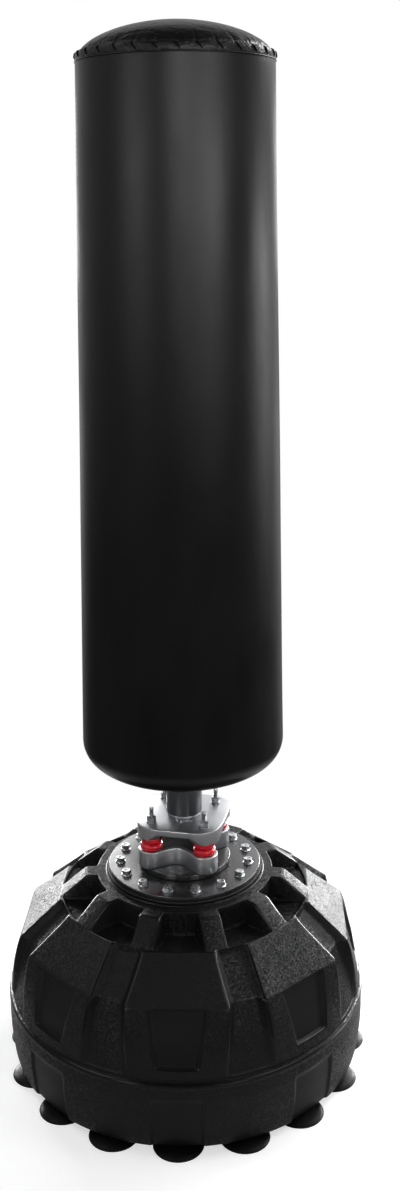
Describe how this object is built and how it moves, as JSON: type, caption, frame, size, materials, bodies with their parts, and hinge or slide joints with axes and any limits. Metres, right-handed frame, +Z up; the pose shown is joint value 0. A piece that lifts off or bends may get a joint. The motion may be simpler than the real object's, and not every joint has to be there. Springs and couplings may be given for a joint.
{
  "type": "freestanding punching bag",
  "caption": "Tall padded punching bag on a short steel post, held by rubber bushings between two lobed plates on a round water-filled base with suction cups.",
  "frame": {"origin": "on the floor under the middle of the base", "axes": "+Z up along the post, -Y towards the front, the middle of one raised panel of the base"},
  "size_m": [0.588, 0.588, 1.7005],
  "materials": {
    "black_polyethylene": "moulded black polyethylene with a fine pebbled grain",
    "black_rubber": "smooth black rubber",
    "dark_painted_steel": "dark grey powder coat",
    "silver_painted_steel": "satin silver paint",
    "grey_painted_steel": "satin dark grey paint",
    "zinc_plated_steel": "bright zinc plating",
    "red_polyurethane": "glossy red polyurethane rubber",
    "black_coated_fabric": "satin black polyurethane-coated fabric",
    "black_cord": "flat black woven lace",
    "grey_foam": "cut grey foam"
  },
  "bodies": {
    "base": {"base_tank": "black_polyethylene", "neck_gasket": "black_rubber", "flange_plate": "dark_painted_steel", "riser_disc": "dark_painted_steel", "lower_spring_plate": "silver_painted_steel", "flange_bolt_01": "zinc_plated_steel", "flange_bolt_02": "zinc_plated_steel", "flange_bolt_03": "zinc_plated_steel", "flange_bolt_04": "zinc_plated_steel", "flange_bolt_05": "zinc_plated_steel", "flange_bolt_06": "zinc_plated_steel", "flange_bolt_07": "zinc_plated_steel", "flange_bolt_08": "zinc_plated_steel", "flange_bolt_09": "zinc_plated_steel", "flange_bolt_10": "zinc_plated_steel", "flange_bolt_11": "zinc_plated_steel", "flange_bolt_12": "zinc_plated_steel", "flange_bolt_13": "zinc_plated_steel", "flange_bolt_14": "zinc_plated_steel", "flange_bolt_15": "zinc_plated_steel", "suction_cup_01": "black_rubber", "suction_cup_02": "black_rubber", "suction_cup_03": "black_rubber", "suction_cup_04": "black_rubber", "suction_cup_05": "black_rubber", "suction_cup_06": "black_rubber", "suction_cup_07": "black_rubber", "suction_cup_08": "black_rubber", "suction_cup_09": "black_rubber", "suction_cup_10": "black_rubber", "suction_cup_11": "black_rubber", "suction_cup_12": "black_rubber", "suction_cup_13": "black_rubber", "suction_cup_14": "black_rubber", "suction_cup_15": "black_rubber", "suction_cup_16": "black_rubber"},
    "bushings": {"bushing_1": "red_polyurethane", "bushing_2": "red_polyurethane", "bushing_3": "red_polyurethane", "bushing_4": "red_polyurethane"},
    "bag": {"upper_spring_plate": "silver_painted_steel", "spigot": "silver_painted_steel", "post_tube": "grey_painted_steel", "post_plug": "black_polyethylene", "foam_core": "grey_foam", "bag_cover": "black_coated_fabric", "top_cap": "black_coated_fabric", "seam_piping": "black_coated_fabric", "lace": "black_cord", "stud_1": "zinc_plated_steel", "stud_2": "zinc_plated_steel", "stud_3": "zinc_plated_steel", "stud_4": "zinc_plated_steel", "stud_nut_1": "zinc_plated_steel", "stud_nut_2": "zinc_plated_steel", "stud_nut_3": "zinc_plated_steel", "stud_nut_4": "zinc_plated_steel"},
    "cap_seal": {"filler_seal": "black_rubber"},
    "cap": {"filler_cap": "black_polyethylene"}
  },
  "joints": [
    {"name": "rock_front_back", "type": "hinge", "parent": "base", "child": "bushings", "pos_m": [0, 0, 0.347], "axis": [1, 0, 0], "range_deg": [-5.5, 5.5], "stiffness_Nm_per_rad": 4000, "deforming": ["bushing_1", "bushing_2", "bushing_3", "bushing_4"]},
    {"name": "rock_side_to_side", "type": "hinge", "parent": "bushings", "child": "bag", "pos_m": [0, 0, 0.347], "axis": [0, 1, 0], "range_deg": [-5.5, 5.5], "stiffness_Nm_per_rad": 4000, "deforming": ["bushing_1", "bushing_2", "bushing_3", "bushing_4"]},
    {"name": "cap_lift", "type": "slide", "parent": "base", "child": "cap_seal", "axis": [0, 0, 1], "range_m": [0, 0.0101]},
    {"name": "cap_turn", "type": "hinge", "parent": "cap_seal", "child": "cap", "pos_m": [0, 0.176, 0.2543], "axis": [0, 0, 1], "range_deg": [0, 900]}
  ],
  "couplings": [
    {"joint": "cap_lift", "follows": "cap_turn", "m_per_rad": 0.0006366}
  ]
}
